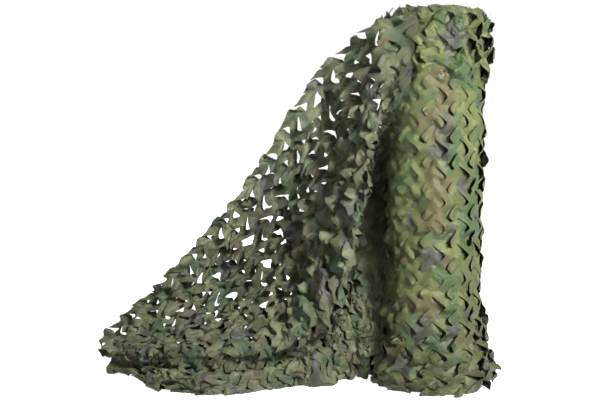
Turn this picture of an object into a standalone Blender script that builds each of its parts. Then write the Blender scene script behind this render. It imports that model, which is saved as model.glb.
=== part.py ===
"""Camouflage netting, a bulk roll of leaf-cut cloth standing on end.

The cloth is 1.5 m wide.  Most of it is wound into an upright roll whose turns
are slack at the top and spread at the foot.  Its outer end is drawn off the
roll's left side: the upper selvedge runs down in a slope to the ground, and the
spare width lies on the ground in long folds.

Frame: origin on the ground at the roll's axis, +X to the roll's right (the
loose end runs towards -X), +Y towards the back, +Z up.  Metres.
"""
import math

import bmesh
import bpy
import numpy as np

# ---------------------------------------------------------------- dimensions
CLOTH_WIDTH = 1.500        # selvedge to selvedge, and so the height of the roll
CLOTH_THICKNESS = 0.003    # leaf-cut cloth with its tongues lying flat
ROLL_RADIUS = 0.184        # wound turns, at mid height
ROLL_TOP = CLOTH_WIDTH - 0.004   # the turns settle a little on their edge
HOOD_BOTTOM = 1.215        # above this the outer turns are slack
HOOD_BULGE = 0.012         # how far the slack turns stand out
WAIST_DEPTH = 0.006        # the turns draw in just under the hood
SHOULDER = 0.080           # height over which the top rounds over
SHOULDER_DEPTH = 0.050     # how far it rounds in
TOP_DIP = 0.030            # the middle turns sit lower than the outer ones
FOOT_HEIGHT = 0.430        # height over which the turns spread at the foot
FOOT_SPREAD = 0.074        # how far they spread
FOOT_RUFFLE = 0.011        # depth of the waves round the spread foot
FOOT_TUCK = 0.014          # the lowest edge curls back under
CLEARANCE = 0.006          # loose cloth to the roll

ROLL_SIDES = 48            # faces round the roll
ROLL_RINGS = 28            # rings up the roll
TOP_RINGS = 4              # rings across the top end
SHEET_ALONG = 44           # faces from the roll to the tail
SHEET_ACROSS = 38          # faces from selvedge to selvedge

# The drawn-off end is a surface through nine lines that all run from the roll
# to the tail.  STATION is where along the run each column of the table lies.
#              roll   recess ridge  panel  slope  slope  tail   tail end
STATION = (0.00,  0.07,  0.16,  0.27,  0.42,  0.60,  0.80,  1.00)
LINES = (
    # the upper selvedge, from the front of the roll's top down to the ground
    ("selvedge", "x", (-0.080, -0.215, -0.295, -0.474, -0.708, -0.955, -1.205, -1.430)),
    ("selvedge", "y", (-0.172, -0.115, -0.050, 0.035, 0.105, 0.178, 0.270, 0.370)),
    ("selvedge", "z", (1.478, 1.466, 1.416, 1.236, 0.866, 0.550, 0.285, 0.080)),
    # the hollow behind the bright front fold
    ("valley", "x", (-0.120, -0.215, -0.275, -0.440, -0.690, -0.935, -1.190, -1.445)),
    ("valley", "y", (-0.160, -0.115, -0.110, 0.120, 0.210, 0.215, 0.215, 0.310)),
    ("valley", "z", (1.200, 1.180, 1.130, 0.900, 0.570, 0.330, 0.150, 0.060)),
    ("panel", "x", (-0.186, -0.255, -0.275, -0.400, -0.630, -0.890, -1.150, -1.425)),
    ("panel", "y", (0.060, 0.110, -0.140, -0.115, 0.060, 0.060, 0.125, 0.260)),
    ("panel", "z", (0.850, 0.880, 0.860, 0.620, 0.360, 0.215, 0.135, 0.066)),
    # the front fold's lip, which overhangs the cloth on the ground
    ("lip", "x", (-0.188, -0.312, -0.333, -0.400, -0.590, -0.860, -1.110, -1.370)),
    ("lip", "y", (0.070, 0.150, -0.140, -0.200, -0.220, -0.190, -0.060, 0.130)),
    ("lip", "z", (0.620, 0.640, 0.590, 0.345, 0.200, 0.150, 0.122, 0.070)),
    # where the cloth turns back under the lip
    ("tuck", "x", (-0.190, -0.320, -0.370, -0.410, -0.590, -0.850, -1.090, -1.370)),
    ("tuck", "y", (0.060, 0.100, 0.000, -0.085, -0.130, -0.165, -0.045, 0.140)),
    ("tuck", "z", (0.420, 0.450, 0.410, 0.275, 0.150, 0.100, 0.078, 0.045)),
    ("heel", "x", (-0.200, -0.300, -0.365, -0.420, -0.590, -0.840, -1.080, -1.370)),
    ("heel", "y", (0.010, 0.035, 0.005, -0.035, -0.090, -0.160, -0.045, 0.120)),
    ("heel", "z", (0.260, 0.270, 0.230, 0.165, 0.085, 0.062, 0.050, 0.030)),
    # the second fold, lying in front on the ground
    ("fold", "x", (-0.210, -0.300, -0.370, -0.440, -0.600, -0.840, -1.080, -1.350)),
    ("fold", "y", (-0.040, -0.010, -0.020, -0.125, -0.155, -0.195, -0.085, 0.060)),
    ("fold", "z", (0.150, 0.150, 0.120, 0.150, 0.105, 0.078, 0.062, 0.040)),
    ("toe", "x", (-0.220, -0.300, -0.370, -0.430, -0.590, -0.830, -1.080, -1.300)),
    ("toe", "y", (-0.080, -0.030, -0.030, -0.110, -0.125, -0.235, -0.170, 0.020)),
    ("toe", "z", (0.002, 0.002, 0.002, 0.002, 0.002, 0.002, 0.002, 0.002)),
    # the lower selvedge, turned in under the folds
    ("hem", "x", (-0.280, -0.300, -0.350, -0.430, -0.590, -0.820, -1.060, -1.240)),
    ("hem", "y", (0.120, 0.120, 0.100, 0.090, 0.080, -0.050, 0.000, 0.080)),
    ("hem", "z", (0.002, 0.002, 0.002, 0.002, 0.002, 0.002, 0.002, 0.002)),
)


# ------------------------------------------------------------- small helpers
def smooth(edge0, edge1, x):
    """0 below edge0, 1 above edge1, with no corner at either."""
    t = np.clip((x - edge0) / (edge1 - edge0), 0.0, 1.0)
    return t * t * (3.0 - 2.0 * t)


def curve_through(keys, values, x):
    """A smooth curve through values (rows) at keys, read at each x."""
    keys, values, x = (np.asarray(a, float) for a in (keys, values, x))
    step = np.diff(keys)[:, None]
    rise = np.diff(values, axis=0) / step
    slope = np.empty_like(values)
    slope[0], slope[-1] = rise[0], rise[-1]
    slope[1:-1] = (rise[:-1] * step[1:] + rise[1:] * step[:-1]) / (step[:-1] + step[1:])
    i = np.clip(np.searchsorted(keys, x) - 1, 0, len(keys) - 2)
    h = step[i]
    t = (x - keys[i])[:, None] / h
    return (values[i] * (2 * t**3 - 3 * t**2 + 1)
            + slope[i] * h * (t**3 - 2 * t**2 + t)
            + values[i + 1] * (3 * t**2 - 2 * t**3)
            + slope[i + 1] * h * (t**3 - t**2))


def roll_radius(angle, z):
    """Radius of the wound turns: uneven, slack at the top, spread at the foot."""
    r = (ROLL_RADIUS
         + 0.0035 * np.sin(2 * angle + 0.6)
         + 0.0025 * np.sin(3 * angle - 1.1 + 2.2 * z)
         + 0.0020 * np.sin(5 * angle + 3.0 * z))
    hood = smooth(HOOD_BOTTOM - 0.015, HOOD_BOTTOM + 0.10, z)
    r = r + HOOD_BULGE * hood * (1.0 + 0.40 * np.sin(4 * angle + 0.5)
                                 + 0.25 * np.sin(7 * angle + 6 * z))
    r = r - WAIST_DEPTH * np.exp(-((z - HOOD_BOTTOM + 0.012) / 0.03) ** 2)
    foot = np.clip(1.0 - z / FOOT_HEIGHT, 0.0, 1.0)
    r = r + FOOT_SPREAD * foot ** 1.8 * (1.0 + 0.10 * np.cos(angle + 1.0))
    r = r + FOOT_RUFFLE * foot ** 1.5 * (np.sin(5 * angle + 1.2)
                                         + 0.7 * np.sin(8 * angle + 2.0)
                                         + 0.5 * np.sin(3 * angle))
    return r - FOOT_TUCK * np.clip(1.0 - z / 0.045, 0.0, 1.0) ** 2


def shoulder(z):
    """How far the roll's side has rounded in at height z."""
    into = np.clip((z - (ROLL_TOP - SHOULDER)) / SHOULDER, 0.0, 1.0)
    return SHOULDER_DEPTH * (1.0 - np.sqrt(1.0 - into ** 2))


def clear_of_roll(points):
    """Moves points outward where they come nearer to the roll than CLEARANCE."""
    x, y, z = points[..., 0], points[..., 1], points[..., 2]
    r = np.hypot(x, y)
    least = roll_radius(np.arctan2(y, x), z) - shoulder(z) + CLEARANCE + CLOTH_THICKNESS / 2
    grow = np.where(r < least, least / np.maximum(r, 1e-6), 1.0)
    return np.stack([x * grow, y * grow, z], axis=-1)


# ------------------------------------------------------------------ the cloth
def sheet_points():
    """Grid of points on the drawn-off end: [run from the roll, selvedge to hem]."""
    run = np.linspace(0.0, 1.0, SHEET_ALONG + 1)
    names = list(dict.fromkeys(name for name, _, _ in LINES))
    lines = []
    for name in names:
        table = np.array([values for line, _, values in LINES if line == name]).T
        lines.append(curve_through(STATION, table, run))
    lines = np.stack(lines, axis=1)
    gaps = np.linalg.norm(np.diff(lines, axis=1), axis=2).mean(axis=0)
    keys = np.concatenate([[0.0], np.cumsum(gaps)]) / gaps.sum()
    across = np.linspace(0.0, 1.0, SHEET_ACROSS + 1)
    points = np.stack([curve_through(keys, row, across) for row in lines])
    s, t = np.meshgrid(run, across, indexing="ij")
    # shallow creases that run down the hanging part, dying out at the roll
    hang = smooth(0.02, 0.25, s) * (1.0 - smooth(0.35, 0.60, t))
    points[..., 1] += 0.012 * hang * np.sin(2 * math.pi * (5.5 * s + 0.6 * t))
    points[..., 1] += 0.007 * hang * np.sin(2 * math.pi * (9.0 * s - 1.1 * t) + 1.0)
    # the ground holds the cloth up
    floor = CLOTH_THICKNESS / 2 + 0.0005
    points[..., 2] = np.maximum(points[..., 2], floor)
    return clear_of_roll(points)


def roll_rings():
    """Rings of the wound part from the ground up, then inward over the top."""
    angle = np.linspace(0.0, 2 * math.pi, ROLL_SIDES, endpoint=False)
    rings = []
    for k in range(ROLL_RINGS + 1):
        # rings lie closer together at the foot and the shoulder
        u = k / ROLL_RINGS
        z = ROLL_TOP * (u - 0.085 * math.sin(2 * math.pi * u))
        r = roll_radius(angle, z) - shoulder(z)
        rings.append(np.stack([r * np.cos(angle), r * np.sin(angle),
                               np.full_like(angle, z)], axis=1))
    rim = rings[-1]
    for k in range(1, TOP_RINGS + 1):
        inward = k / (TOP_RINGS + 1)
        ring = rim * (1.0 - inward)
        ring[:, 2] = ROLL_TOP - TOP_DIP * smooth(0.0, 1.0, inward)
        rings.append(ring)
    return rings


# ------------------------------------------------------------------ the scene
def material(name, colour, roughness):
    mat = bpy.data.materials.new(name)
    mat.use_nodes = True
    shader = mat.node_tree.nodes["Principled BSDF"]
    shader.inputs["Base Color"].default_value = (*colour, 1.0)
    shader.inputs["Roughness"].default_value = roughness
    shader.inputs["Metallic"].default_value = 0.0
    mat.diffuse_color = (*colour, 1.0)
    return mat


def add_object(name, bm, collection, mat):
    mesh = bpy.data.meshes.new(name)
    bmesh.ops.recalc_face_normals(bm, faces=bm.faces)
    bm.to_mesh(mesh)
    bm.free()
    mesh.materials.append(mat)
    obj = bpy.data.objects.new(name, mesh)
    collection.objects.link(obj)
    mesh.shade_smooth()
    return obj


def make_roll(collection, mat):
    """The wound part: a loft of unlike rings, closed by a fan at each end."""
    bm = bmesh.new()
    rings = [[bm.verts.new(p) for p in ring] for ring in roll_rings()]
    for low, high in zip(rings, rings[1:]):
        for i in range(ROLL_SIDES):
            j = (i + 1) % ROLL_SIDES
            bm.faces.new((low[i], low[j], high[j], high[i]))
    for ring, z, step in ((rings[0], 0.0, -1), (rings[-1], ROLL_TOP - TOP_DIP, 1)):
        centre = bm.verts.new((0.0, 0.0, z))
        for i in range(ROLL_SIDES):
            pair = (ring[i], ring[(i + 1) % ROLL_SIDES])
            bm.faces.new((*pair[::step], centre))
    return add_object("roll", bm, collection, mat)


def make_loose_end(collection, mat):
    """The drawn-off end: an open surface given its thickness by Solidify."""
    points = sheet_points()
    bm = bmesh.new()
    grid = [[bm.verts.new(p) for p in row] for row in points]
    for near, far in zip(grid, grid[1:]):
        for k in range(SHEET_ACROSS):
            bm.faces.new((near[k], near[k + 1], far[k + 1], far[k]))
    obj = add_object("loose_end", bm, collection, mat)
    solid = obj.modifiers.new("thickness", "SOLIDIFY")
    solid.thickness = CLOTH_THICKNESS
    solid.offset = 0.0
    solid.use_even_offset = False
    return obj


def main():
    for obj in list(bpy.data.objects):
        bpy.data.objects.remove(obj, do_unlink=True)
    collection = bpy.data.collections.new("camouflage_netting")
    bpy.context.scene.collection.children.link(collection)
    make_roll(collection, material("leaf_cut_cloth_wound", (0.13, 0.17, 0.075), 0.62))
    make_loose_end(collection, material("leaf_cut_cloth_loose", (0.15, 0.19, 0.085), 0.62))


main()
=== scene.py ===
"""Looks for a bulk roll of leaf-cut camouflage netting with its loose end drawn off.

The netting is made the way the real cloth is: one flat length of cloth with rows
of curved slits is laid out, its slits are cut open in the mesh, and a position
based cloth solver hangs it on the roll and along the drawn-off end, so that the
slits open into holes and the tongues lift by themselves.
"""
import math

import bpy
import bmesh
import numpy as np
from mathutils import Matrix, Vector
from mathutils.geometry import delaunay_2d_cdt


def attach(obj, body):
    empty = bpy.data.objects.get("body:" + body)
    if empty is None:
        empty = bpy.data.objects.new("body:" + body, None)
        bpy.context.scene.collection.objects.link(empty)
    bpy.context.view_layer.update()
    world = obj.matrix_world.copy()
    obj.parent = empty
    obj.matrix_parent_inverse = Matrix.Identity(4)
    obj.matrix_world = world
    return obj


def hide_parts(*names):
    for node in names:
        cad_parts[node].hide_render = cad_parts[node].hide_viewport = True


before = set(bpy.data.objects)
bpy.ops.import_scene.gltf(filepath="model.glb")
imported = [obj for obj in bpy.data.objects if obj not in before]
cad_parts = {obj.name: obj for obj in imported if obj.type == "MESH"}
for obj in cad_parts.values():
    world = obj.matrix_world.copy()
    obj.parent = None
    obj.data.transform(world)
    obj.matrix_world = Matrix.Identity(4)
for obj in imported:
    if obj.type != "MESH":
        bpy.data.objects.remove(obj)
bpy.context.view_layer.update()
RNG = np.random.default_rng(20260)

# ------------------------------------------------------------------ the cloth
CLOTH_WIDTH = 1.500
PITCH_U = 0.096            # from one column of slits to the next
PITCH_V = 0.101            # from one slit to the next in a column
HALF = PITCH_U / 2
FINE, COARSE = (12, 6), (6, 3)   # mesh edges in one vertical repeat, and in half a column
TILE_LOW = -0.041          # a tile's lower edge, from its slit's apex
LOOSE_COLUMNS = 35         # half columns in the drawn-off end
ROLL_COLUMNS = 25          # half columns in the outer turn
ROLL_STRETCH = 1.045
SELVEDGE_CUT = 0.034       # how far above an apex the upper selvedge crosses the slits

# ------------------------------------------------- the shape, as the CAD has it
ROLL_RADIUS = 0.184
ROLL_TOP = CLOTH_WIDTH - 0.004
HOOD_BOTTOM = 1.215
HOOD_BULGE = 0.012
WAIST_DEPTH = 0.006
SHOULDER = 0.080
SHOULDER_DEPTH = 0.050
TOP_DIP = 0.030
FOOT_HEIGHT = 0.430
FOOT_SPREAD = 0.074
FOOT_RUFFLE = 0.011
FOOT_TUCK = 0.014
LEAVES_AT = math.radians(167)   # where the loose end leaves the roll
STATION = (0.00, 0.07, 0.16, 0.27, 0.42, 0.60, 0.80, 1.00)
LINES = {
    "selvedge": ((-0.080, -0.215, -0.295, -0.474, -0.708, -0.955, -1.205, -1.430),
                 (-0.172, -0.115, -0.050, 0.035, 0.105, 0.178, 0.270, 0.370),
                 (1.478, 1.466, 1.416, 1.236, 0.866, 0.550, 0.285, 0.080)),
    "valley": ((-0.120, -0.215, -0.275, -0.440, -0.690, -0.935, -1.190, -1.445),
               (-0.160, -0.115, -0.110, 0.120, 0.210, 0.215, 0.215, 0.310),
               (1.200, 1.180, 1.130, 0.900, 0.570, 0.330, 0.150, 0.060)),
    "panel": ((-0.186, -0.255, -0.275, -0.400, -0.630, -0.890, -1.150, -1.425),
              (0.060, 0.110, -0.140, -0.115, 0.060, 0.060, 0.125, 0.260),
              (0.850, 0.880, 0.860, 0.620, 0.360, 0.215, 0.135, 0.066)),
    "lip": ((-0.188, -0.312, -0.333, -0.400, -0.590, -0.860, -1.110, -1.370),
            (0.070, 0.150, -0.140, -0.200, -0.220, -0.190, -0.060, 0.130),
            (0.620, 0.640, 0.590, 0.345, 0.200, 0.150, 0.122, 0.070)),
    "tuck": ((-0.190, -0.320, -0.370, -0.410, -0.590, -0.850, -1.090, -1.370),
             (0.060, 0.100, 0.000, -0.085, -0.130, -0.165, -0.045, 0.140),
             (0.420, 0.450, 0.410, 0.275, 0.150, 0.100, 0.078, 0.045)),
    "heel": ((-0.200, -0.300, -0.365, -0.420, -0.590, -0.840, -1.080, -1.370),
             (0.010, 0.035, 0.005, -0.035, -0.090, -0.160, -0.045, 0.120),
             (0.260, 0.270, 0.230, 0.165, 0.085, 0.062, 0.050, 0.030)),
    "fold": ((-0.210, -0.300, -0.370, -0.440, -0.600, -0.840, -1.080, -1.350),
             (-0.040, -0.010, -0.020, -0.125, -0.155, -0.195, -0.085, 0.060),
             (0.150, 0.150, 0.120, 0.150, 0.105, 0.078, 0.062, 0.040)),
    "toe": ((-0.220, -0.300, -0.370, -0.430, -0.590, -0.830, -1.080, -1.300),
            (-0.080, -0.030, -0.030, -0.110, -0.125, -0.235, -0.170, 0.020),
            (0.004, 0.004, 0.004, 0.004, 0.004, 0.004, 0.004, 0.004)),
    "hem": ((-0.280, -0.300, -0.350, -0.430, -0.590, -0.820, -1.060, -1.240),
            (0.120, 0.120, 0.100, 0.090, 0.080, -0.050, 0.000, 0.080),
            (0.004, 0.004, 0.004, 0.004, 0.004, 0.004, 0.004, 0.004)),
}


def smooth(low, high, x):
    t = np.clip((x - low) / (high - low), 0.0, 1.0)
    return t * t * (3.0 - 2.0 * t)


def curve_through(keys, values, x):
    """A smooth curve through values (rows) at keys, read at each x."""
    keys, values, x = (np.asarray(a, float) for a in (keys, values, x))
    step = np.diff(keys)[:, None]
    rise = np.diff(values, axis=0) / step
    slope = np.empty_like(values)
    slope[0], slope[-1] = rise[0], rise[-1]
    slope[1:-1] = (rise[:-1] * step[1:] + rise[1:] * step[:-1]) / (step[:-1] + step[1:])
    i = np.clip(np.searchsorted(keys, x) - 1, 0, len(keys) - 2)
    h = step[i]
    t = (x - keys[i])[:, None] / h
    return (values[i] * (2 * t**3 - 3 * t**2 + 1) + slope[i] * h * (t**3 - 2 * t**2 + t)
            + values[i + 1] * (3 * t**2 - 2 * t**3) + slope[i + 1] * h * (t**3 - t**2))


def roll_radius(angle, z):
    """Radius of the wound turns: uneven, slack at the top, spread at the foot."""
    r = (ROLL_RADIUS + 0.0035 * np.sin(2 * angle + 0.6)
         + 0.0025 * np.sin(3 * angle - 1.1 + 2.2 * z) + 0.0020 * np.sin(5 * angle + 3.0 * z))
    hood = smooth(HOOD_BOTTOM - 0.015, HOOD_BOTTOM + 0.10, z)
    r = r + HOOD_BULGE * hood * (1.0 + 0.40 * np.sin(4 * angle + 0.5)
                                 + 0.25 * np.sin(7 * angle + 6 * z))
    r = r - WAIST_DEPTH * np.exp(-((z - HOOD_BOTTOM + 0.012) / 0.03) ** 2)
    foot = np.clip(1.0 - z / FOOT_HEIGHT, 0.0, 1.0)
    r = r + FOOT_SPREAD * foot ** 1.8 * (1.0 + 0.10 * np.cos(angle + 1.0))
    r = r + FOOT_RUFFLE * foot ** 1.5 * (np.sin(5 * angle + 1.2) + 0.7 * np.sin(8 * angle + 2.0)
                                         + 0.5 * np.sin(3 * angle))
    return r - FOOT_TUCK * np.clip(1.0 - z / 0.045, 0.0, 1.0) ** 2


def shoulder(z):
    into = np.clip((z - (ROLL_TOP - SHOULDER)) / SHOULDER, 0.0, 1.0)
    return SHOULDER_DEPTH * (1.0 - np.sqrt(np.clip(1.0 - into ** 2, 0.0, 1.0)))


# -------------------------------------------------------------- one slit's tile
def slit_line(fine):
    """The ">" slit in its tile: long arm up to the left, short arm down to the left."""
    up, apex, down = np.array([-0.0440, 0.0400]), np.array([-0.0010, 0.0]), np.array([-0.0235, -0.0275])
    bow = np.array([0.0022, 0.0024])
    a = up + (apex - up) * 0.84 + bow * 0.5
    b = apex + (down - apex) * 0.26
    arm = [up + (a - up) * t + bow * math.sin(math.pi * t) for t in np.linspace(0, 1, 7 if fine else 4)]
    bend = [a * (1 - t) ** 2 + 2 * apex * t * (1 - t) + b * t * t for t in ((0.36, 0.68) if fine else (0.5,))]
    low = [b + (down - b) * t for t in np.linspace(0, 1, 4 if fine else 2)]
    return np.array(arm + bend + low)


def clip_line(line, low, high, least):
    """The part of a polyline with low <= y <= high, and whether each end is a cut."""
    inside = (line[:, 1] > low) & (line[:, 1] < high)
    if not inside.any():
        return None, (False, False)
    k = np.flatnonzero(inside)
    part, ends = [line[i] for i in range(k[0], k[-1] + 1)], [False, False]
    for side, i, j in ((0, k[0], k[0] - 1), (1, k[-1], k[-1] + 1)):
        if 0 <= j < len(line):
            edge = low if line[j, 1] <= low else high
            t = (edge - line[i, 1]) / (line[j, 1] - line[i, 1])
            p = line[i] + (line[j] - line[i]) * t
            p[1] = edge
            q = part[0] if side == 0 else part[-1]
            if np.linalg.norm(q - p) < least and len(part) > 2:
                part = part[1:] if side == 0 else part[:-1]
            part = [p] + part if side == 0 else part + [p]
            ends[side] = True
    return np.array(part), tuple(ends)


def heading(d):
    return math.atan2(d[1], d[0])


def make_tile(low, high, steps):
    """Points, triangles, how far each point stands in front, and which lie on the tile's edge.

    Every slit's right lip lies in front of its left lip, as on a shingled roof.
    """
    step_v, step_u = steps
    edge = PITCH_V / step_v
    rows = [TILE_LOW + edge * k for k in range(step_v + 1)]
    rows = [low] + [y for y in rows if low + 0.4 * edge < y < high - 0.4 * edge] + [high]
    slit, cut = clip_line(slit_line(steps == FINE), low, high, 0.35 * edge)
    xs = [-HALF + HALF / step_u * k for k in range(step_u + 1)]
    loop = [(x, low) for x in xs] + [(0.0, y) for y in rows[1:]] \
        + [(x, high) for x in xs[-2::-1]] + [(-HALF, y) for y in rows[-2:0:-1]]
    for side in (0, 1):
        if cut[side]:                      # the slit runs out through the selvedge
            p = slit[0 if side == 0 else -1]
            level = [i for i in range(len(loop)) if abs(loop[i][1] - p[1]) < 1e-9]
            near = min(level, key=lambda i: abs(loop[i][0] - p[0]))
            if -HALF + 1e-9 < loop[near][0] < -1e-9 and abs(loop[near][0] - p[0]) < 0.45 * HALF / step_u:
                loop[near] = tuple(p)
            else:
                for i in level:
                    j = (i + 1) % len(loop)
                    if j in level and min(loop[i][0], loop[j][0]) < p[0] < max(loop[i][0], loop[j][0]):
                        loop.insert(i + 1, tuple(p))
                        break
    pts = [Vector(p) for p in loop]
    n = len(pts)
    edges = [(i, (i + 1) % n) for i in range(n)]
    ids = []
    solid = [np.array(p) for p in loop]
    if slit is not None:
        for k, p in enumerate(slit):
            if (k == 0 and cut[0]) or (k == len(slit) - 1 and cut[1]):
                ids.append(min(range(n), key=lambda i: (pts[i] - Vector(p)).length))
            else:
                ids.append(len(pts))
                pts.append(Vector(p))
        edges += list(zip(ids, ids[1:]))
        solid += [slit[i] + (slit[i + 1] - slit[i]) * t for i in range(len(slit) - 1) for t in (0, 0.5, 1.0)]
    solid = np.array(solid)
    y, odd = low + 0.8 * edge, 0
    while y < high - 0.5 * edge:
        for x in np.arange(-HALF + (0.5 + 0.5 * odd) * edge, -0.4 * edge, edge * 1.02):
            if np.linalg.norm(solid - (x, y), axis=1).min() > 0.60 * edge:
                pts.append(Vector((x, y)))
        y, odd = y + edge * 0.88, 1 - odd
    out, _, faces, origin, _, _ = delaunay_2d_cdt(pts, edges, [list(range(n))], 1, 1e-7)
    xy = np.array([tuple(v) for v in out])
    place = {o: i for i, group in enumerate(origin) for o in group}
    tri = np.array([f if (xy[f[1]] - xy[f[0]])[0] * (xy[f[2]] - xy[f[0]])[1]
                    - (xy[f[1]] - xy[f[0]])[1] * (xy[f[2]] - xy[f[0]])[0] > 0 else f[::-1] for f in faces])
    on_edge = (np.abs(xy[:, 0]) < 1e-7) | (np.abs(xy[:, 0] + HALF) < 1e-7) \
        | (np.abs(xy[:, 1] - low) < 1e-7) | (np.abs(xy[:, 1] - high) < 1e-7)
    stand = np.zeros(len(xy))
    if slit is None:
        fixed = on_edge
    else:
        line = [place[i] for i in ids]
        lips = {}
        for k, v in enumerate(line):       # cut the mesh open along the slit
            first, last = k == 0, k == len(line) - 1
            if (first and not cut[0]) or (last and not cut[1]):
                continue
            here = xy[v]
            back = (xy[line[k - 1]] - here) if not first else -(xy[line[1]] - here)
            ahead = (xy[line[k + 1]] - here) if not last else -(xy[line[-2]] - here)
            turn = (heading(back) - heading(ahead)) % (2 * math.pi)
            new = len(xy)
            xy = np.vstack([xy, here])
            on_edge = np.append(on_edge, False)
            on_edge[v] = False
            for t in range(len(tri)):      # going down the slit, its tongue is on the right
                if v in tri[t]:
                    d = xy[tri[t]].mean(0) - here
                    if (heading(d) - heading(ahead)) % (2 * math.pi) > turn:
                        tri[t][tri[t] == v] = new
            way = abs(here[1]) / (0.040 if here[1] > 0 else 0.0275)
            open_ = math.sqrt(max(0.0, 1.0 - way ** 2)) if not (cut[0] and here[1] > 0) else 1.0
            lips[v], lips[new] = open_, -open_
        stand = np.zeros(len(xy))
        fixed = on_edge.copy()
        for v, value in lips.items():
            stand[v], fixed[v] = value, True
    # the column line goes forward beside ">" slits and back beside "<" slits
    column = on_edge & (np.abs(xy[:, 0]) < 1e-7)
    stand[column] = np.cos(2 * math.pi * xy[column, 1] / PITCH_V)
    level = on_edge & ~column & (np.abs(xy[:, 0] + HALF) > 1e-7)
    stand[level] = np.cos(2 * math.pi * xy[level, 1] / PITCH_V) * (1 + xy[level, 0] / HALF)
    if abs(high - TILE_LOW - PITCH_V) > 1e-6:
        fixed &= ~(on_edge & (np.abs(xy[:, 1] - high) < 1e-7) & (xy[:, 0] < -1e-7) & (xy[:, 0] > -HALF + 1e-7))
    if abs(low - TILE_LOW) > 1e-6:
        fixed &= ~(on_edge & (np.abs(xy[:, 1] - low) < 1e-7) & (xy[:, 0] < -1e-7) & (xy[:, 0] > -HALF + 1e-7))
    weight = np.zeros((len(xy), len(xy)))
    for i, j in ((0, 1), (1, 2), (2, 0)):
        weight[tri[:, i], tri[:, j]] = weight[tri[:, j], tri[:, i]] = 1.0
    free = ~fixed
    total = np.diag(weight.sum(axis=1)) - weight
    if free.any():
        stand[free] = np.linalg.solve(total[np.ix_(free, free)], -total[np.ix_(free, fixed)] @ stand[fixed])
    return xy, tri, stand, on_edge


def lay_out(first, last, steps, tall=CLOTH_WIDTH, shift=0.0):
    """The flat cloth between two half columns, with its slits cut.

    Gives flat places, triangles, how far each point stands in front, and tile numbers.
    The upper selvedge cuts through the ">" slits' long arms, which makes one
    pointed flap in each column.
    """
    rows = int(round(CLOTH_WIDTH / PITCH_V))
    v_top = (rows - 1) * PITCH_V + SELVEDGE_CUT + shift
    v_low = v_top - tall
    cache, parts, count, number = {}, [], 0, 0
    for c in range(first, last):
        right = c % 2 != 0                 # "<" tiles lie right of their column line
        for m in range(-2, rows + 3):
            apex = m * PITCH_V + (PITCH_V / 2 if right else 0.0)
            low, high = max(v_low, apex + TILE_LOW), min(v_top, apex + TILE_LOW + PITCH_V)
            if high - low < 1e-6:
                continue
            key = (round(low - apex, 6), round(high - apex, 6))
            if key not in cache:
                cache[key] = make_tile(*key, steps)
            xy, tri, stand, on_edge = cache[key]
            place = xy.copy()
            if right:
                place[:, 0] = -place[:, 0] + c * HALF
                tri = tri[:, ::-1]
            else:
                place[:, 0] += (c + 1) * HALF
            place[:, 1] += apex - v_low + (CLOTH_WIDTH - tall)
            parts.append((place, tri + count, stand * (-1.0 if right else 1.0), on_edge,
                          np.full(len(xy), number)))
            count, number = count + len(xy), number + 1
    xy, tri, stand, on_edge, tile = (np.concatenate(p) for p in zip(*parts))
    ids = np.arange(len(xy))               # tiles share the points on their edges
    on = np.flatnonzero(on_edge)
    keys = np.round(xy[on] * 2e4).astype(np.int64)
    _, one, group = np.unique(keys, axis=0, return_index=True, return_inverse=True)
    ids[on] = on[one][group.reshape(-1)]
    used, tri = np.unique(ids[tri], return_inverse=True)
    return xy[used], tri.reshape(-1, 3), stand[used], tile[used]


# ------------------------------------------------------- where the cloth hangs
class Waves:
    """Smooth seeded noise over the flat cloth, about -1 to 1."""

    def __init__(self, rng, length, count=14):
        turn = rng.uniform(0, 2 * math.pi, count)
        size = 2 * math.pi / (length * rng.uniform(0.7, 1.5, count))
        self.k = np.stack([np.cos(turn) * size, np.sin(turn) * size])
        self.phase = rng.uniform(0, 2 * math.pi, count)
        self.scale = 1.35 / math.sqrt(count)

    def __call__(self, flat):
        return np.sin(flat @ self.k + self.phase).sum(axis=1) * self.scale


class Facets(Waves):
    """Seeded noise made of flat facets between straight creases, about -1 to 1."""

    def __call__(self, flat):
        return np.arcsin(np.sin(flat @ self.k + self.phase)).sum(axis=1) * self.scale * (2 / math.pi)


def sheet_table(along=200, down=300):
    """The drawn-off end's surface as places: [run from the roll, way down to the floor].

    Gives the length of each line down it too.
    """
    run = np.linspace(0.0, 1.0, along + 1)
    lines = np.stack([curve_through(STATION, np.array(LINES[n]).T, run) for n in LINES], axis=1)
    gaps = np.linalg.norm(np.diff(lines, axis=1), axis=2).mean(axis=0)
    keys = np.concatenate([[0.0], np.cumsum(gaps)]) / gaps.sum()
    across = np.linspace(0.0, 1.0, 361)
    points = np.stack([curve_through(keys, row, across) for row in lines])
    s, t = np.meshgrid(run, across, indexing="ij")
    hang = smooth(0.02, 0.25, s) * (1.0 - smooth(0.35, 0.60, t))
    points[..., 1] += 0.012 * hang * np.sin(2 * math.pi * (5.5 * s + 0.6 * t))
    points[..., 1] += 0.007 * hang * np.sin(2 * math.pi * (9.0 * s - 1.1 * t) + 1.0)
    points[..., 2] = np.maximum(points[..., 2], 0.004)
    r = np.hypot(points[..., 0], points[..., 1])
    least = roll_radius(np.arctan2(points[..., 1], points[..., 0]), points[..., 2]) + 0.018 * smooth(0, 0.05, s) - 0.012
    least = least - shoulder(points[..., 2])
    points[..., :2] *= np.where(r < least, least / np.maximum(r, 1e-6), 1.0)[..., None]
    table, lengths = np.empty((along + 1, down + 1, 3)), []
    for i, row in enumerate(points):
        arc = np.concatenate([[0.0], np.cumsum(np.linalg.norm(np.diff(row, axis=0), axis=1))])
        lengths.append(arc[-1])
        for k in range(3):
            table[i, :, k] = np.interp(np.linspace(0.0, arc[-1], down + 1), arc, row[:, k])
    return table, np.array(lengths)


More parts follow.
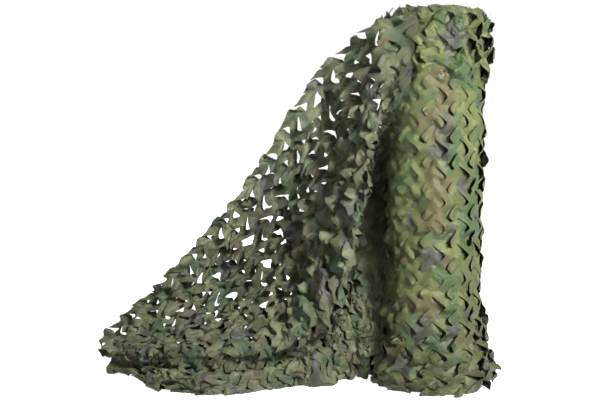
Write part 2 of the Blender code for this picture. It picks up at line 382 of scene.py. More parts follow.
def grid_at(table, s, t):
    """Place on a table at fractions s, t, and how it changes along each."""
    a, d = table.shape[0] - 1, table.shape[1] - 1
    u, v = np.clip(s, 0, 1) * a, np.clip(t, 0, 1) * d
    i, j = np.minimum(u.astype(int), a - 1), np.minimum(v.astype(int), d - 1)
    fu, fv = (u - i)[..., None], (v - j)[..., None]
    p00, p10, p01, p11 = table[i, j], table[i + 1, j], table[i, j + 1], table[i + 1, j + 1]
    return ((p00 * (1 - fu) + p10 * fu) * (1 - fv) + (p01 * (1 - fu) + p11 * fu) * fv,
            ((p10 - p00) * (1 - fv) + (p11 - p01) * fv) * a,
            ((p01 - p00) * (1 - fu) + (p11 - p10) * fu) * d)


def settle(table, lengths, columns, rows=30, rounds=1500):
    """Slides a grid of the cloth over its surface until it is stretched and sheared least.

    The slits let it stretch by a fifth along the selvedge and not at all down it;
    slack either way costs little. Gives a table of places over the flat cloth.
    """
    du, dv, reach = HALF, CLOTH_WIDTH / rows, 1.22
    S = np.repeat(np.linspace(0, 1, columns + 1)[:, None], rows + 1, axis=1)
    long = np.interp(S[:, 0], np.linspace(0, 1, len(lengths)), lengths)
    T = np.linspace(0, 1, rows + 1)[None, :] * np.minimum(CLOTH_WIDTH / long, 1.0)[:, None]
    mean, size = [np.zeros_like(S), np.zeros_like(S)], [np.zeros_like(S), np.zeros_like(S)]
    cell = 1.0 / (columns * rows)
    left, right, above, below = np.s_[:-1, :], np.s_[1:, :], np.s_[:, :-1], np.s_[:, 1:]
    for step in range(rounds):
        place, along, down = grid_at(table, S, T)
        push = np.zeros_like(place)
        for a, b, rest, most, middle in ((left, right, du, reach, 1.08), (above, below, dv, 1.0, 0.98)):
            d = place[b] - place[a]
            n = np.linalg.norm(d, axis=-1)
            q = n / rest
            f = np.minimum(q - 0.85, 0) + 4.0 * np.maximum(q - most, 0) + 0.15 * (q - middle)
            g = d * (f / (rest * np.maximum(n, 1e-9)))[..., None]
            push[b] += g
            push[a] -= g
        d1, d2 = place[1:, 1:] - place[:-1, :-1], place[1:, :-1] - place[:-1, 1:]
        square = du * du + dv * dv
        w = 0.70 * ((d1 ** 2).sum(-1) - (d2 ** 2).sum(-1)) / square ** 2
        d1, d2 = d1 * w[..., None], d2 * w[..., None]
        push[1:, 1:] += d1
        push[:-1, :-1] -= d1
        push[1:, :-1] -= d2
        push[:-1, 1:] += d2
        gs, gt = (push * along).sum(-1), (push * down).sum(-1)
        # no cell turns over
        su, sv = S[1:, :-1] - S[:-1, :-1], S[:-1, 1:] - S[:-1, :-1]
        tu, tv = T[1:, :-1] - T[:-1, :-1], T[:-1, 1:] - T[:-1, :-1]
        f = np.minimum((su * tv - sv * tu) / cell - 0.25, 0) * 6.0 / cell
        gs[1:, :-1] += f * tv
        gs[:-1, :-1] -= f * (tv - tu)
        gs[:-1, 1:] -= f * tu
        gt[:-1, 1:] += f * su
        gt[:-1, :-1] -= f * (su - sv)
        gt[1:, :-1] -= f * sv
        gs[0], gt[0], gt[:, 0], gs[-1, 0] = 0, 0, 0, 0
        rate = 0.004 * (1.0 if step < 0.6 * rounds else 0.3)
        for k, (value, g) in enumerate(((S, gs), (T, gt))):
            mean[k] = 0.9 * mean[k] + 0.1 * g
            size[k] = 0.98 * size[k] + 0.02 * g * g
            value -= rate * mean[k] / (np.sqrt(size[k]) + 1e-4)
        np.clip(S, 0, 1, out=S)
        np.clip(T, 0, 1, out=T)
    fine_u, fine_v = np.linspace(0, 1, 4 * columns + 1), np.linspace(0, 1, 4 * rows + 1)

    def finer(grid):
        grid = curve_through(np.linspace(0, 1, columns + 1), grid, fine_u)
        return curve_through(np.linspace(0, 1, rows + 1), grid.T, fine_v).T

    return grid_at(table, finer(S), finer(T))[0]


def unit(v):
    return v / np.maximum(np.linalg.norm(v, axis=1), 1e-9)[:, None]


def read_table(table, u, v):
    """Place, rightward and upward directions at fractions u, v of a table of places."""
    a, d = table.shape[0] - 1, table.shape[1] - 1
    u, v = np.clip(u, 0, 1) * a, np.clip(v, 0, 1) * d
    i, j = np.minimum(u.astype(int), a - 1), np.minimum(v.astype(int), d - 1)
    fu, fv = (u - i)[:, None], (v - j)[:, None]
    p00, p10, p01, p11 = table[i, j], table[i + 1, j], table[i, j + 1], table[i + 1, j + 1]
    place = (p00 * (1 - fu) + p10 * fu) * (1 - fv) + (p01 * (1 - fu) + p11 * fu) * fv
    right = (p00 - p10) * (1 - fv) + (p01 - p11) * fv
    up = (p00 - p01) * (1 - fu) + (p10 - p11) * fu
    return place, unit(right), unit(up)


def hung_place(table, flat):
    """Place and outward normal of each flat point on the drawn-off end."""
    place, right, up = read_table(table, -flat[:, 0] / (LOOSE_COLUMNS * HALF),
                                  (CLOTH_WIDTH - flat[:, 1]) / CLOTH_WIDTH)
    return place, unit(np.cross(right, up))


PROFILE_Z = np.concatenate([np.linspace(0.004, ROLL_TOP - SHOULDER, 200),
                            ROLL_TOP - SHOULDER + SHOULDER * np.sin(np.linspace(0, math.pi / 2, 60)[1:])])


def wound_place(flat, inward=0.0, start=LEAVES_AT, shrink=1.0):
    """Place of each flat point on the roll's outer turn, with the outward normal there."""
    z = PROFILE_Z
    r = roll_radius(np.array([4.6]), z[:, None]).reshape(-1) - shoulder(z)
    arc = np.concatenate([[0.0], np.cumsum(np.hypot(np.diff(z), np.diff(r)))])
    height = np.interp(flat[:, 1] * 1.006, arc, z)
    angle = start + flat[:, 0] * ROLL_STRETCH / ROLL_RADIUS * shrink
    wind = smooth(math.radians(318), math.radians(360), angle - start)
    radius = roll_radius(angle, height) - shoulder(height) - 0.010 * wind - inward
    place = np.stack([radius * np.cos(angle), radius * np.sin(angle), height], axis=1)
    tip = np.interp(height, z, np.gradient(r, arc))
    level = np.sqrt(np.clip(1 - tip ** 2, 0.05, 1))
    normal = np.stack([np.cos(angle) * level, np.sin(angle) * level, -tip], axis=1)
    return place, normal


# ---------------------------------------------------------------- the solver
def edge_list(tri):
    e = np.sort(np.concatenate([tri[:, [0, 1]], tri[:, [1, 2]], tri[:, [2, 0]]]), axis=1)
    far = np.concatenate([tri[:, 2], tri[:, 0], tri[:, 1]])
    order = np.lexsort((e[:, 1], e[:, 0]))
    e, far = e[order], far[order]
    same = np.flatnonzero((e[1:] == e[:-1]).all(axis=1))
    edges = np.unique(e, axis=0)
    return edges, np.stack([far[same], far[same + 1]], axis=1)


def in_groups(pairs, size):
    """Splits pairs into groups in which no point comes twice."""
    used, group = [0] * size, np.empty(len(pairs), int)
    for k, (a, b) in enumerate(pairs.tolist()):
        free = ~(used[a] | used[b])
        bit = free & -free
        used[a] |= bit
        used[b] |= bit
        group[k] = bit.bit_length() - 1
    return [np.flatnonzero(group == g) for g in range(group.max() + 1)]


def relax(place, tri, rest_shape, hold, target, normal, lift, steps, bend, drop, keep_clear):
    """Lets the cut cloth settle: keeps its lengths and bends, and holds only a few points.

    The knots between slits are held near their targets. Every other point is only
    asked, weakly, to stand as far off the cloth as its target does.
    """
    edges, across = edge_list(tri)
    work = []
    for pairs, stiff in ((across, bend), (edges, 1.0)):
        rest = np.linalg.norm(rest_shape[pairs[:, 0]] - rest_shape[pairs[:, 1]], axis=1)
        for g in in_groups(pairs, len(place)):
            if len(g) > 0:
                work.append((pairs[g, 0].copy(), pairs[g, 1].copy(),
                             rest[g].astype(np.float32), np.float32(0.5 * stiff)))
    # four floats a point, so that one point can be moved about as one 16 byte item
    x = np.zeros((len(place), 4), np.float32)
    x[:, :3] = place
    last = x.copy()
    item = np.complex128
    held = np.flatnonzero(hold > 0)
    pull = hold[held].astype(np.float32)[:, None]
    goal = np.zeros((len(held), 4), np.float32)
    goal[:, :3] = target[held]
    out = np.zeros((len(place), 4), np.float32)
    out[:, :3] = normal
    level = np.einsum("ij,ij->i", normal, target).astype(np.float32)
    for step in range(steps):
        ease = np.float32(1.0 if step < 0.3 * steps else 0.45)
        move = (x - last) * np.float32(0.82 if step < 0.7 * steps else 0.45)
        last = x.copy()
        x = x + move
        x[:, 2] -= np.float32(drop)
        x[held] += (goal - x[held]) * pull * ease
        x += out * ((level - np.einsum("ij,ij->i", x, out)) * lift * ease)[:, None]
        whole = x.view(item).reshape(-1)
        for a, b, rest, stiff in work:
            xa, xb = whole.take(a).view(np.float32), whole.take(b).view(np.float32)
            d = xb - xa
            dx, dy, dz = d[0::4], d[1::4], d[2::4]
            share = np.sqrt(dx * dx + dy * dy + dz * dz)
            share = stiff * (1 - rest / (share + np.float32(1e-9)))
            dx *= share
            dy *= share
            dz *= share
            whole[a] = (xa + d).view(item)
            whole[b] = (xb - d).view(item)
        keep_clear(x)
    return x[:, :3].astype(float)


# ---------------------------------------------------------------- making pieces
THICK = 0.0009


def shell(name, flat, tri, place, materials, thick=THICK, crease=math.radians(15)):
    """A piece of cloth with two faces and cut edges; UVs keep the flat cloth's places."""
    n = len(place)
    normal = np.zeros((n, 3))
    corner = place[tri]
    face = np.cross(corner[:, 1] - corner[:, 0], corner[:, 2] - corner[:, 0])
    for k in range(3):
        for c in range(3):
            normal[:, c] += np.bincount(tri[:, k], face[:, c], minlength=n)
    normal /= np.maximum(np.linalg.norm(normal, axis=1), 1e-12)[:, None]
    e = np.concatenate([tri[:, [0, 1]], tri[:, [1, 2]], tri[:, [2, 0]]])
    third = np.concatenate([tri[:, 2], tri[:, 0], tri[:, 1]])
    key = np.sort(e, axis=1)
    key = key[:, 0] * n + key[:, 1]
    _, back, times = np.unique(key, return_inverse=True, return_counts=True)
    rim = times[back.reshape(-1)] == 1
    e, third = e[rim], third[rim]
    verts = np.concatenate([place + normal * thick / 2, place - normal * thick / 2])
    loops = np.concatenate([tri.reshape(-1), (tri[:, ::-1] + n).reshape(-1),
                            np.stack([e[:, 1], e[:, 0], e[:, 0] + n, e[:, 1] + n], axis=1).reshape(-1)])
    sizes = np.concatenate([np.full(2 * len(tri), 3), np.full(len(e), 4)])
    starts = np.concatenate([[0], np.cumsum(sizes)[:-1]])
    mesh = bpy.data.meshes.new(name)
    mesh.vertices.add(len(verts))
    mesh.vertices.foreach_set("co", verts.reshape(-1).astype(np.float32))
    mesh.loops.add(len(loops))
    mesh.loops.foreach_set("vertex_index", loops.astype(np.int32))
    mesh.polygons.add(len(sizes))
    mesh.polygons.foreach_set("loop_start", starts.astype(np.int32))
    mesh.polygons.foreach_set("material_index", np.concatenate(
        [np.zeros(len(tri), np.int32), np.ones(len(tri), np.int32), np.zeros(len(e), np.int32)]))
    mesh.polygons.foreach_set("use_smooth", np.ones(len(sizes), bool))
    mesh.update(calc_edges=True)
    # cut edges stay crisp: the rim is shaded apart from the faces beside it
    ends = np.empty(len(mesh.edges) * 2, np.int32)
    mesh.edges.foreach_get("vertices", ends)
    ends = np.sort(ends.reshape(-1, 2), axis=1).astype(np.int64)
    whole = ends[:, 0] * (2 * n) + ends[:, 1]
    sharp = np.sort(e, axis=1).astype(np.int64)
    marks = np.concatenate([sharp[:, 0] * (2 * n) + sharp[:, 1],
                            (sharp[:, 0] + n) * (2 * n) + sharp[:, 1] + n])
    normals = face / np.maximum(np.linalg.norm(face, axis=1), 1e-12)[:, None]
    order = np.argsort(key, kind="stable")
    twice = np.flatnonzero(key[order][1:] == key[order][:-1])
    one, two = order[twice] % len(tri), order[twice + 1] % len(tri)
    bent = np.einsum("ij,ij->i", normals[one], normals[two]) < math.cos(crease)
    a_, b_ = key[order[twice]][bent] // n, key[order[twice]][bent] % n
    marks = np.concatenate([marks, a_ * (2 * n) + b_, (a_ + n) * (2 * n) + b_ + n])
    mesh.edges.foreach_set("use_edge_sharp", np.isin(whole, marks))
    uv = mesh.uv_layers.new(name="cloth")
    inset = flat[third]
    near = [flat[e[:, k]] + (inset - flat[e[:, k]]) * 0.12 for k in (0, 1)]
    uvs = np.concatenate([flat[tri].reshape(-1, 2), flat[tri[:, ::-1]].reshape(-1, 2),
                          np.stack([flat[e[:, 1]], flat[e[:, 0]], near[0], near[1]], axis=1).reshape(-1, 2)])
    uv.data.foreach_set("uv", uvs.reshape(-1).astype(np.float32))
    # the same layout again in the unit square, the two faces side by side
    low, high = flat.min(axis=0), flat.max(axis=0)
    size = max((high - low)[0] * 2 + 0.03, (high - low)[1]) * 1.01
    pack = (uvs - low) / size + 0.003
    pack[3 * len(tri):6 * len(tri), 0] += ((high - low)[0] + 0.02) / size
    bake = mesh.uv_layers.new(name="OFBake")
    bake.data.foreach_set("uv", pack.reshape(-1).astype(np.float32))
    mesh.uv_layers.active = mesh.uv_layers["OFBake"]
    mesh.uv_layers["cloth"].active_render = True
    for m in materials:
        mesh.materials.append(m)
    mesh.validate()
    obj = bpy.data.objects.new(name, mesh)
    bpy.context.scene.collection.objects.link(obj)
    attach(obj, "root")
    return obj


def stand_off(stand, tile, rng, low, high):
    """How far each point stands off the cloth: unlike from one slit to the next."""
    return stand * rng.uniform(low, high, tile.max() + 1)[tile]


def hold_points(flat, apex_low):
    """1 at points down the middle of each ribbon of leaves, and 0 elsewhere."""
    u, v = flat[:, 0] / PITCH_U, (flat[:, 1] - apex_low) / PITCH_V
    knots = np.array([(0.0, 0.0), (0.0, 0.5), (0.0, 1.0), (1.0, 0.0), (1.0, 0.5), (1.0, 1.0)])
    part = np.stack([u % 1.0, v % 1.0], axis=1)
    near = np.min([np.hypot((part[:, 0] - a) * PITCH_U, (part[:, 1] - b) * PITCH_V) for a, b in knots], axis=0)
    return np.where(near < 0.0075, 1.0, 0.0)


APEX_LOW = CLOTH_WIDTH - (int(round(CLOTH_WIDTH / PITCH_V)) - 1) * PITCH_V - SELVEDGE_CUT


def stay_off_roll(gap, far=None):
    def clear(x):
        np.maximum(x[:, 2], 0.0016, out=x[:, 2])
        angle = np.arctan2(x[:, 1], x[:, 0])
        r = np.hypot(x[:, 0], x[:, 1])
        near = np.flatnonzero(r < 0.34)
        least = roll_radius(angle[near], x[near, 2]) - shoulder(x[near, 2]) + gap
        grow = np.maximum(least / np.maximum(r[near], 1e-6), 1.0)
        if far is not None:
            most = least - gap + far
            grow = np.minimum(grow, np.maximum(most / np.maximum(r[near], 1e-6), 0.0) + (r[near] <= most) * 9.0)
        x[near, 0] *= grow
        x[near, 1] *= grow
    return clear


def even_out(values, tri, rounds):
    """Averages values over neighbouring points of the cut cloth."""
    n = len(values)
    pairs = np.concatenate([tri[:, [0, 1]], tri[:, [1, 2]], tri[:, [2, 0]]])
    for _ in range(rounds):
        total = np.bincount(pairs[:, 0], values[pairs[:, 1]], n) + np.bincount(pairs[:, 1], values[pairs[:, 0]], n)
        count = np.bincount(pairs[:, 0], minlength=n) + np.bincount(pairs[:, 1], minlength=n)
        values = 0.5 * values + 0.5 * total / np.maximum(count, 1)
    return values


SURFACE = sheet_table()


def make_loose():
    flat, tri, stand, tile = lay_out(-LOOSE_COLUMNS, 0, FINE)
    drape = settle(*SURFACE, LOOSE_COLUMNS)
    place, normal = hung_place(drape, flat)
    wave = [Waves(RNG, length)(flat) for length in (0.16, 0.13, 0.08, 0.05, 0.09, 0.09)]
    s = -flat[:, 0] / (LOOSE_COLUMNS * HALF)
    slack = smooth(0.01, 0.09, s)
    lying = smooth(0.34, 0.12, place[:, 2])
    edge = smooth(CLOTH_WIDTH - 0.16, CLOTH_WIDTH - 0.02, flat[:, 1])
    flap = smooth(CLOTH_WIDTH - 0.055, CLOTH_WIDTH - 0.010, flat[:, 1])
    off = even_out(stand_off(stand, tile, RNG, 0.008, 0.034), tri, 1) * (0.1 + 0.9 * slack) * (1 - 0.68 * lying)
    off = off * (1 - 0.75 * flap)
    off = off + (0.010 * Facets(RNG, 0.14, 6)(flat) + 0.005 * Facets(RNG, 0.07, 5)(flat)) * slack * (1 - 0.5 * lying)
    rest = np.column_stack([flat, off])
    start = place + normal * (off + slack * (0.004 * wave[2] + 0.003 * wave[3]))[:, None]
    goal = place + normal * (off + (0.009 * wave[0] + 0.008 * wave[2]) * slack * (1 - 0.5 * lying))[:, None]
    goal[:, 0] += (0.006 * wave[1] + 0.008 * wave[4]) * slack
    goal[:, 2] += 0.009 * slack * wave[5] * (1 - 0.6 * lying)
    goal[:, 2] = np.maximum(goal[:, 2], 0.003)
    hold = hold_points(flat, APEX_LOW) * (0.10 + 0.3 * (1 - slack) + 0.50 * edge)
    # the flaps' points are stretched out along the selvedge
    tip = (flat[:, 0] / HALF + 1) % 2 * HALF - (PITCH_U - 0.038)
    at_tip = (np.hypot(tip, CLOTH_WIDTH - flat[:, 1]) < 0.013) & (slack > 0.6)
    ahead, _ = hung_place(drape, flat + [-0.018, 0.012] * at_tip[:, None])
    goal[at_tip] = ahead[at_tip] + [-0.015, 0.0, 0.002] + normal[at_tip] * 0.006
    hold = np.where(at_tip, 0.22, hold)
    x = relax(start, tri, rest, hold, goal, normal, np.float32(0.04), 300, 0.14, 0.00003,
              stay_off_roll(-0.009))
    return flat, tri, x


def make_wound():
    flat, tri, stand, tile = lay_out(0, ROLL_COLUMNS, FINE)
    place, normal = wound_place(flat)
    wave = [Waves(RNG, 0.13)(flat), Waves(RNG, 0.13)(flat), Waves(RNG, 0.06)(flat)]
    hood = smooth(HOOD_BOTTOM - 0.02, HOOD_BOTTOM + 0.06, flat[:, 1])
    foot = smooth(0.34, 0.05, flat[:, 1])
    free = 0.35 + 0.65 * np.maximum(hood, foot)
    open_ = np.clip(0.8 + 0.55 * Waves(RNG, 0.22)(flat), 0.35, 1.5)
    off = even_out(stand_off(stand, tile, RNG, 0.002, 0.020), tri, 1) * open_ * (0.85 + 1.30 * hood + 0.95 * foot)
    off = off + (0.0070 * Facets(RNG, 0.13, 6)(flat) + 0.0035 * Facets(RNG, 0.06, 5)(flat)) * (0.8 + 1.7 * hood + 1.1 * foot)
    off = off * (1 - 0.8 * smooth(CLOTH_WIDTH - 0.060, CLOTH_WIDTH - 0.015, flat[:, 1]))
    rest = np.column_stack([flat, off])
    start = place + normal * (off + 0.0025 * free * wave[2])[:, None]
    goal = place + normal * (0.002 + off + (0.006 + 0.006 * hood) * free * wave[0] + 0.004 * free * wave[2])[:, None]
    goal[:, 2] += (0.004 + 0.008 * hood) * free * wave[1]
    goal[:, 2] = np.maximum(goal[:, 2], 0.003)
    hold = hold_points(flat, APEX_LOW) * 0.12
    x = relax(start, tri, rest, hold, goal, normal, np.float32(0.04), 300, 0.14, 0.00003,
              stay_off_roll(-0.011, 0.030))
    return flat, tri, x


# ---------------------------------------------------------------- materials
def srgb(r, g, b):
    return tuple(((c / 255 / 12.92) if c <= 10 else ((c / 255 + 0.055) / 1.055) ** 2.4) for c in (r, g, b)) + (1.0,)


def camo(name, colours, rough=0.52, foot=0.0, hollow_shade=0.0):
    """Printed leaf-cut cloth: five inks in warped blotches over a fine plain weave, with painted shade towards the foot
    and over the drawn-off end's hollow where asked.
    """
    mat = bpy.data.materials.new(name)
    mat.use_nodes = True
    nt = mat.node_tree
    nodes, links = nt.nodes, nt.links
    shader = nodes["Principled BSDF"]

    def add(kind, **values):
        node = nodes.new(kind)
        for k, v in values.items():
            setattr(node, k, v)
        return node

    uv = add("ShaderNodeUVMap", uv_map="cloth")

    def noise(scale, detail, seed, source=None, rough_=0.5, stretch=(1.0, 1.0)):
        move = add("ShaderNodeMapping")
        move.inputs["Location"].default_value = (seed * 3.17, seed * 1.93, 0)
        move.inputs["Scale"].default_value = (*stretch, 1)
        links.new(source or uv.outputs["UV"], move.inputs["Vector"])
        n = add("ShaderNodeTexNoise", noise_dimensions="2D")
        n.inputs["Scale"].default_value = scale
        n.inputs["Detail"].default_value = detail
        n.inputs["Roughness"].default_value = rough_
        links.new(move.outputs["Vector"], n.inputs["Vector"])
        return n

    # the blotches' outlines wander
    warp = noise(16.0, 2.0, 5.0)
    shift = add("ShaderNodeVectorMath", operation="SUBTRACT")
    links.new(warp.outputs["Color"], shift.inputs[0])
    shift.inputs[1].default_value = (0.5, 0.5, 0.5)
    shift2 = add("ShaderNodeVectorMath", operation="SCALE")
    links.new(shift.outputs["Vector"], shift2.inputs[0])
    shift2.inputs["Scale"].default_value = 0.045
    place = add("ShaderNodeVectorMath", operation="ADD")
    links.new(uv.outputs["UV"], place.inputs[0])
    links.new(shift2.outputs["Vector"], place.inputs[1])

    def blotch(below, ink, scale, seed, edge, soft=0.022, stretch=(1.0, 1.0)):
        n = noise(scale, 1.6, seed, place.outputs["Vector"], 0.45, stretch)
        ramp = add("ShaderNodeMapRange", interpolation_type="SMOOTHSTEP")
        ramp.inputs["From Min"].default_value = edge - soft
        ramp.inputs["From Max"].default_value = edge + soft
        links.new(n.outputs["Fac"], ramp.inputs["Value"])
        mix = add("ShaderNodeMix", data_type="RGBA")
        links.new(ramp.outputs["Result"], mix.inputs["Factor"])
        if isinstance(below, tuple):
            mix.inputs["A"].default_value = below
        else:
            links.new(below, mix.inputs["A"])
        mix.inputs["B"].default_value = ink
        return mix.outputs["Result"]

    base, second, third, fourth, fifth = colours
    col = blotch(base, second, 6.5, 1.0, 0.50, stretch=(1.0, 1.25))
    col = blotch(col, third, 7.5, 2.0, 0.575, stretch=(1.15, 0.9))
    col = blotch(col, fourth, 7.0, 3.0, 0.625, stretch=(0.9, 1.2))
    col = blotch(col, fifth, 9.0, 4.0, 0.65, stretch=(1.1, 0.8))
    # inks lie unevenly, and rubbed ridges are a little paler
    fade = noise(38.0, 4.0, 6.0, rough_=0.6)
    level = add("ShaderNodeMapRange")
    level.inputs["From Min"].default_value = 0.3
    level.inputs["From Max"].default_value = 0.7
    level.inputs["To Min"].default_value = 0.88
    level.inputs["To Max"].default_value = 1.10
    links.new(fade.outputs["Fac"], level.inputs["Value"])
    tone = add("ShaderNodeVectorMath", operation="SCALE")
    links.new(col, tone.inputs[0])
    part = add("ShaderNodeSeparateXYZ")
    links.new(uv.outputs["UV"], part.inputs["Vector"])
    # painted shade: the print is darker towards the foot, standing in for the light falling off there
    low = add("ShaderNodeMapRange", interpolation_type="SMOOTHSTEP")
    low.inputs["From Min"].default_value = 0.10
    low.inputs["From Max"].default_value = 0.42
    low.inputs["To Min"].default_value = 1.0 - foot
    low.inputs["To Max"].default_value = 1.0
    links.new(part.outputs["Y"], low.inputs["Value"])
    shade = add("ShaderNodeMath", operation="MULTIPLY")
    links.new(level.outputs["Result"], shade.inputs[0])
    links.new(low.outputs["Result"], shade.inputs[1])
    # painted shade: the print is laid darker over the hollow in the middle of the drawn-off end, where shade falls
    centre = add("ShaderNodeMapping", vector_type="TEXTURE")
    centre.inputs["Location"].default_value = (-0.90, 1.17, 0.0)
    centre.inputs["Rotation"].default_value = (0.0, 0.0, math.radians(-50))
    centre.inputs["Scale"].default_value = (0.24, 0.48, 1.0)
    links.new(uv.outputs["UV"], centre.inputs["Vector"])
    reach = add("ShaderNodeVectorMath", operation="LENGTH")
    links.new(centre.outputs["Vector"], reach.inputs[0])
    painted_hollow_shade = add("ShaderNodeMapRange", interpolation_type="SMOOTHSTEP")
    painted_hollow_shade.inputs["From Min"].default_value = 0.35
    painted_hollow_shade.inputs["From Max"].default_value = 1.0
    painted_hollow_shade.inputs["To Min"].default_value = 1.0 - hollow_shade
    painted_hollow_shade.inputs["To Max"].default_value = 1.0
    links.new(reach.outputs["Value"], painted_hollow_shade.inputs["Value"])
    both_ = add("ShaderNodeMath", operation="MULTIPLY")
    links.new(shade.outputs["Value"], both_.inputs[0])
    links.new(painted_hollow_shade.outputs["Result"], both_.inputs[1])
    links.new(both_.outputs["Value"], tone.inputs["Scale"])
    links.new(tone.outputs["Vector"], shader.inputs["Base Color"])
    # creases of handling, then the weave
    creases = noise(30.0, 2.0, 7.0, rough_=0.5)
    bump = add("ShaderNodeBump")
    bump.inputs["Strength"].default_value = 0.35
    bump.inputs["Distance"].default_value = 0.004
    ridge = add("ShaderNodeMath", operation="SUBTRACT")
    links.new(creases.outputs["Fac"], ridge.inputs[0])
    ridge.inputs[1].default_value = 0.5
    fold = add("ShaderNodeMath", operation="ABSOLUTE")
    links.new(ridge.outputs["Value"], fold.inputs[0])
    both = add("ShaderNodeMath", operation="MULTIPLY_ADD")
    links.new(fold.outputs["Value"], both.inputs[0])
    both.inputs[1].default_value = 2.2
    links.new(creases.outputs["Fac"], both.inputs[2])
    links.new(both.outputs["Value"], bump.inputs["Height"])
    threads = []
    for axis in ("X", "Y"):
        turn = add("ShaderNodeMath", operation="MULTIPLY")
        links.new(part.outputs[axis], turn.inputs[0])
        turn.inputs[1].default_value = 2 * math.pi / 0.0011
        wave = add("ShaderNodeMath", operation="SINE")
        links.new(turn.outputs["Value"], wave.inputs[0])
        threads.append(wave)
    weave = add("ShaderNodeMath", operation="MULTIPLY")
    links.new(threads[0].outputs["Value"], weave.inputs[0])
    links.new(threads[1].outputs["Value"], weave.inputs[1])
    fine = add("ShaderNodeBump")
    fine.inputs["Strength"].default_value = 0.25
    fine.inputs["Distance"].default_value = 0.0002
    links.new(weave.outputs["Value"], fine.inputs["Height"])
    links.new(bump.outputs["Normal"], fine.inputs["Normal"])
    links.new(fine.outputs["Normal"], shader.inputs["Normal"])
    wear = add("ShaderNodeMapRange")
    wear.inputs["From Min"].default_value = 0.3
    wear.inputs["From Max"].default_value = 0.7
    wear.inputs["To Min"].default_value = rough - 0.06
    wear.inputs["To Max"].default_value = rough + 0.10
    links.new(fade.outputs["Fac"], wear.inputs["Value"])
    links.new(wear.outputs["Result"], shader.inputs["Roughness"])
    shader.inputs["Specular IOR Level"].default_value = 0.30
    shader.inputs["Sheen Weight"].default_value = 0.04
    shader.inputs["Sheen Roughness"].default_value = 0.5
    return mat


def ink(r, g, b, level=0.32):
    return tuple(level * c for c in srgb(r, g, b)[:3]) + (1.0,)


INKS = (ink(140, 153, 92), ink(168, 178, 112), ink(120, 148, 94), ink(154, 148, 98), ink(130, 132, 116))


def greyed_for_sheen(inks, much):
    """Inks greyed at their own brightness, standing in for the sheen seen over the drawn-off end: painted sheen, no
    lighter or darker.
    """
    return tuple(tuple(c + much * (0.22 * i[0] + 0.72 * i[1] + 0.06 * i[2] - c) for c in i[:3]) + (1.0,) for i in inks)


def reverse(inks):
    return tuple(tuple(0.30 * c + 0.45 * g for c, g in zip(i[:3], ink(100, 100, 90)[:3])) + (1.0,) for i in inks)


# the drawn-off end's print: greyed inks as painted sheen, and painted shade over its hollow
FACE_MAT = camo("netting_print", greyed_for_sheen(INKS, 0.27), hollow_shade=0.42)
BACK_MAT = camo("netting_reverse", reverse(INKS), rough=0.60)
# the outer turn's print carries painted shade towards its foot
WOUND_MAT = camo("netting_wound_print", INKS, foot=0.36)
# painted shade: the turns beneath get the print at under half its brightness, standing in for the shade deep inside the
# roll
SHADE_INKS = tuple(tuple(0.45 * c for c in i[:3]) + (1.0,) for i in INKS)
SHADE_MAT = camo("netting_inner_painted_shade", SHADE_INKS, rough=0.7)


# ---------------------------------------------------------------- the pieces
flat, tri, x = make_loose()
loose = shell("netting_loose", flat, tri, x, (FACE_MAT, BACK_MAT))
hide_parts("loose_end")

flat, tri, x = make_wound()
wound = shell("netting_outer_turn", flat, tri, x, (WOUND_MAT, BACK_MAT))
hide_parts("roll")

flat, tri, stand, tile = lay_out(0, 23, COARSE)
place, normal = wound_place(flat + [0.0, 0.0], inward=0.012, start=LEAVES_AT + math.radians(11), shrink=1.045)
off = stand_off(stand, tile, RNG, 0.002, 0.005) + 0.003 * Waves(RNG, 0.07)(flat)
inner = shell("netting_inner_turn", flat + [3.0, 0.0], tri, place + normal * off[:, None], (FACE_MAT, BACK_MAT))
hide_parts("roll")


def make_core():
    """The turns beneath, seen only through the cuts, their print painted at under half brightness as painted shade."""
    sides, rings = 96, []
    angle = np.linspace(0, 2 * math.pi, sides, endpoint=False)
    for z in list(np.linspace(0.006, ROLL_TOP - SHOULDER, 60)) + [ROLL_TOP - SHOULDER + 0.055 * k / 6 for k in range(1, 7)]:
        r = roll_radius(angle, z) - 0.024 - shoulder(z + 0.012) + 0.002 * np.sin(9 * angle + 31 * z)
        rings.append(np.stack([r * np.cos(angle), r * np.sin(angle), np.full(sides, z)], axis=1))
    rim = rings[-1]
    for k in range(1, 5):
        ring = rim * (1 - k / 5.0)
        ring[:, 2] = rim[:, 2] - 0.03 * smooth(0, 1, k / 5.0)
        rings.append(ring)
    bm = bmesh.new()
    uv = bm.loops.layers.uv.new("cloth")
    grid = [[bm.verts.new(p) for p in ring] for ring in rings]
    foot = bm.verts.new((0, 0, 0.006))
    top = bm.verts.new((0, 0, rings[-1][0, 2] - 0.002))
    for i, (a, b) in enumerate(zip(grid, grid[1:])):
        for k in range(sides):
            j = (k + 1) % sides
            f = bm.faces.new((a[k], a[j], b[j], b[k]))
            for loop, (p, q) in zip(f.loops, ((k, i), (k + 1, i), (k + 1, i + 1), (k, i + 1))):
                loop[uv].uv = (p * 0.012, q * 0.022)
    for ring, centre, way in ((grid[0], foot, -1), (grid[-1], top, 1)):
        for k in range(sides):
            f = bm.faces.new((*(ring[k], ring[(k + 1) % sides])[::way], centre))
            for loop in f.loops:
                loop[uv].uv = (loop.vert.co.x, loop.vert.co.y)
    mesh = bpy.data.meshes.new("netting_turns_beneath")
    bm.to_mesh(mesh)
    bm.free()
    mesh.shade_smooth()
    mesh.materials.append(SHADE_MAT)
    obj = bpy.data.objects.new("netting_turns_beneath", mesh)
    bpy.context.scene.collection.objects.link(obj)
    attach(obj, "root")
    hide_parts("roll")
    return obj


core = make_core()


SECOND_TALL = 1.12          # the part of the second turn that hangs below the hood


